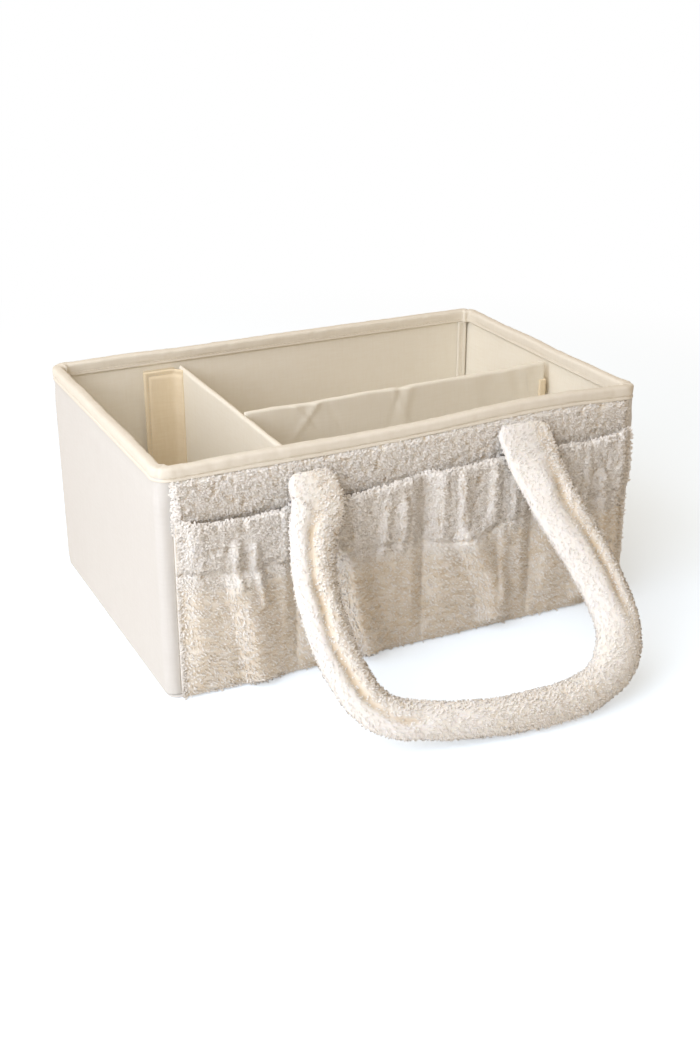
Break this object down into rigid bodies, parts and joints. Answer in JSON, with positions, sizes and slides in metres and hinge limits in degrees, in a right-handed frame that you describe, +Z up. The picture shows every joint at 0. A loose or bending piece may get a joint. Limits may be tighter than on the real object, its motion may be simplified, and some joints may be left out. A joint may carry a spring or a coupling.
{
  "type": "nappy caddy organizer",
  "caption": "Rectangular fabric nappy caddy with fleece long sides, gathered outer pockets, two padded loop handles and removable dividers.",
  "frame": {"origin": "middle of the footprint, on the surface that the caddy stands on", "axes": "+Z up, +Y from the front long side to the back one, +X towards the end away from the cross divider"},
  "size_m": [0.38, 0.5506, 0.17],
  "materials": {
    "fleece": "cream curled-pile polyester fleece",
    "cover_cloth": "smooth cream plain-woven cloth",
    "lining_cloth": "smooth cream plain-woven lining",
    "binding_cloth": "cream folded binding, stitched at its edge",
    "stiffener_board": "flat polyethylene stiffener board",
    "hook_and_loop": "cream hook and loop tape",
    "elastic": "white ribbed elastic",
    "foam": "soft cream foam"
  },
  "bodies": {
    "caddy": {"base_panel": "cover_cloth", "base_board": "stiffener_board", "base_lining": "lining_cloth", "front_fleece": "fleece", "front_board": "stiffener_board", "front_lining": "lining_cloth", "back_fleece": "fleece", "back_board": "stiffener_board", "back_lining": "lining_cloth", "right_end_cover": "cover_cloth", "right_board": "stiffener_board", "right_lining": "lining_cloth", "left_end_cover": "cover_cloth", "left_board": "stiffener_board", "left_lining": "lining_cloth", "rim_binding": "binding_cloth", "corner_binding_front_left": "binding_cloth", "corner_binding_front_right": "binding_cloth", "corner_binding_back_left": "binding_cloth", "corner_binding_back_right": "binding_cloth", "front_pocket": "fleece", "front_pocket_elastic": "elastic", "back_pocket": "fleece", "back_pocket_elastic": "elastic", "front_loop_tape": "hook_and_loop", "back_loop_tape": "hook_and_loop", "right_loop_tape": "hook_and_loop"},
    "cross_divider": {"cross_divider_cover": "lining_cloth", "cross_divider_board": "stiffener_board", "cross_divider_loop_tape": "hook_and_loop"},
    "cross_front_flap": {"cross_flap_front": "lining_cloth", "cross_hook_front": "hook_and_loop"},
    "cross_back_flap": {"cross_flap_back": "lining_cloth", "cross_hook_back": "hook_and_loop"},
    "long_divider": {"long_divider_cover": "lining_cloth", "long_divider_board": "stiffener_board"},
    "long_left_flap": {"long_flap_left": "lining_cloth", "long_hook_left": "hook_and_loop"},
    "long_right_flap": {"long_flap_right": "lining_cloth", "long_hook_right": "hook_and_loop"},
    "front_handle_ends": {"front_handle_tab_left": "fleece", "front_handle_tab_right": "fleece"},
    "front_handle": {"front_handle_sleeve": "fleece", "front_handle_core": "foam"},
    "back_handle_ends": {"back_handle_tab_left": "fleece", "back_handle_tab_right": "fleece"},
    "back_handle": {"back_handle_sleeve": "fleece", "back_handle_core": "foam"}
  },
  "joints": [
    {"name": "front_handle_swing", "type": "hinge", "parent": "caddy", "child": "front_handle_ends", "pos_m": [0, -0.1303, 0.1567], "axis": [-1, 0, 0], "range_deg": [0, 137.2]},
    {"name": "front_handle_lean", "type": "hinge", "parent": "front_handle_ends", "child": "front_handle", "pos_m": [0, -0.14522, 0.14053], "axis": [-1, 0, 0], "range_deg": [0, 42.5]},
    {"name": "back_handle_swing", "type": "hinge", "parent": "caddy", "child": "back_handle_ends", "pos_m": [0, 0.1303, 0.1567], "axis": [1, 0, 0], "range_deg": [0, 137.2]},
    {"name": "back_handle_lean", "type": "hinge", "parent": "back_handle_ends", "child": "back_handle", "pos_m": [0, 0.14522, 0.14053], "axis": [1, 0, 0], "range_deg": [0, 42.5]},
    {"name": "cross_divider_lift", "type": "slide", "parent": "caddy", "child": "cross_divider", "axis": [0, 0, -1], "range_m": [-0.175, 0]},
    {"name": "long_divider_lift", "type": "slide", "parent": "caddy", "child": "long_divider", "axis": [0, 0, -1], "range_m": [-0.175, 0]},
    {"name": "cross_front_flap_peel", "type": "hinge", "parent": "cross_divider", "child": "cross_front_flap", "pos_m": [-0.0885, -0.1139, 0.083], "axis": [0, 0, -1], "range_deg": [0, 80]},
    {"name": "cross_back_flap_peel", "type": "hinge", "parent": "cross_divider", "child": "cross_back_flap", "pos_m": [-0.0885, 0.1139, 0.083], "axis": [0, 0, 1], "range_deg": [0, 80]},
    {"name": "long_left_flap_peel", "type": "hinge", "parent": "long_divider", "child": "long_left_flap", "pos_m": [-0.0781, -0.0095, 0.083], "axis": [0, 0, -1], "range_deg": [0, 80]},
    {"name": "long_right_flap_peel", "type": "hinge", "parent": "long_divider", "child": "long_right_flap", "pos_m": [0.1791, -0.0095, 0.083], "axis": [0, 0, 1], "range_deg": [0, 80]}
  ]
}
